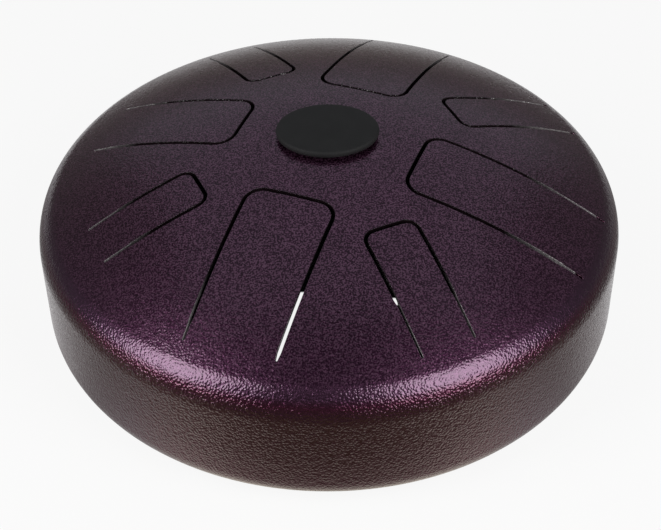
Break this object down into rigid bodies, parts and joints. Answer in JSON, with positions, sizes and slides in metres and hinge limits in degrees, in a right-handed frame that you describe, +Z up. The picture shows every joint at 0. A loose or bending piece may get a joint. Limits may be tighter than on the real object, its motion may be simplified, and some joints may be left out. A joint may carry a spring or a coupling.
{
  "type": "steel tongue drum",
  "caption": "Round steel tongue drum: a dished shell with long and short sawn tongues round an oval rubber badge, a pan with a sound port below, and rubber feet.",
  "frame": {"origin": "middle of the plane on which the feet stand", "axes": "+Z up along the drum axis, -Y towards the player, +X to the player's right"},
  "size_m": [0.305, 0.305, 0.1179],
  "materials": {
    "powder_coat": "dark purple hammertone powder coat on steel",
    "badge_rubber": "matt moulded rubber",
    "foot_rubber": "matt moulded rubber",
    "foam_tape": "closed-cell foam tape"
  },
  "bodies": {
    "shell": {"top_shell": "powder_coat", "bottom_pan": "powder_coat", "seam_weld": "powder_coat", "centre_badge": "badge_rubber", "badge_tape": "foam_tape", "foot_1": "foot_rubber", "foot_2": "foot_rubber", "foot_3": "foot_rubber", "foot_4": "foot_rubber", "foot_tape_1": "foam_tape", "foot_tape_2": "foam_tape", "foot_tape_3": "foam_tape", "foot_tape_4": "foam_tape"},
    "tongue_1": {"tongue_1": "powder_coat"},
    "tongue_2": {"tongue_2": "powder_coat"},
    "tongue_3": {"tongue_3": "powder_coat"},
    "tongue_4": {"tongue_4": "powder_coat"},
    "tongue_5": {"tongue_5": "powder_coat"},
    "tongue_6": {"tongue_6": "powder_coat"},
    "tongue_7": {"tongue_7": "powder_coat"},
    "tongue_8": {"tongue_8": "powder_coat"}
  },
  "joints": [
    {"name": "tongue_1_flex", "type": "hinge", "parent": "shell", "child": "tongue_1", "pos_m": [-0.04673, -0.12238, 0.08194], "axis": [-0.9342, 0.3567, 0], "range_deg": [-0.5, 0.5], "stiffness_Nm_per_rad": 323},
    {"name": "tongue_2_flex", "type": "hinge", "parent": "shell", "child": "tongue_2", "pos_m": [0.05464, -0.12214, 0.08056], "axis": [-0.9128, -0.4083, 0], "range_deg": [-0.6, 0.6], "stiffness_Nm_per_rad": 247},
    {"name": "tongue_3_flex", "type": "hinge", "parent": "shell", "child": "tongue_3", "pos_m": [0.132, -0.05041, 0.07667], "axis": [-0.3567, -0.9342, 0], "range_deg": [-0.5, 0.5], "stiffness_Nm_per_rad": 286},
    {"name": "tongue_4_flex", "type": "hinge", "parent": "shell", "child": "tongue_4", "pos_m": [0.12771, 0.05713, 0.07742], "axis": [0.4083, -0.9128, 0], "range_deg": [-0.6, 0.6], "stiffness_Nm_per_rad": 235},
    {"name": "tongue_5_flex", "type": "hinge", "parent": "shell", "child": "tongue_5", "pos_m": [0.04887, 0.12799, 0.07893], "axis": [0.9342, -0.3567, 0], "range_deg": [-0.5, 0.5], "stiffness_Nm_per_rad": 309},
    {"name": "tongue_6_flex", "type": "hinge", "parent": "shell", "child": "tongue_6", "pos_m": [-0.05447, 0.12177, 0.08076], "axis": [0.9128, 0.4083, 0], "range_deg": [-0.6, 0.6], "stiffness_Nm_per_rad": 250},
    {"name": "tongue_7_flex", "type": "hinge", "parent": "shell", "child": "tongue_7", "pos_m": [-0.11715, 0.04473, 0.0846], "axis": [0.3567, 0.9342, 0], "range_deg": [-0.5, 0.5], "stiffness_Nm_per_rad": 294},
    {"name": "tongue_8_flex", "type": "hinge", "parent": "shell", "child": "tongue_8", "pos_m": [-0.11502, -0.05145, 0.08432], "axis": [-0.4083, 0.9128, 0], "range_deg": [-0.6, 0.6], "stiffness_Nm_per_rad": 266}
  ]
}
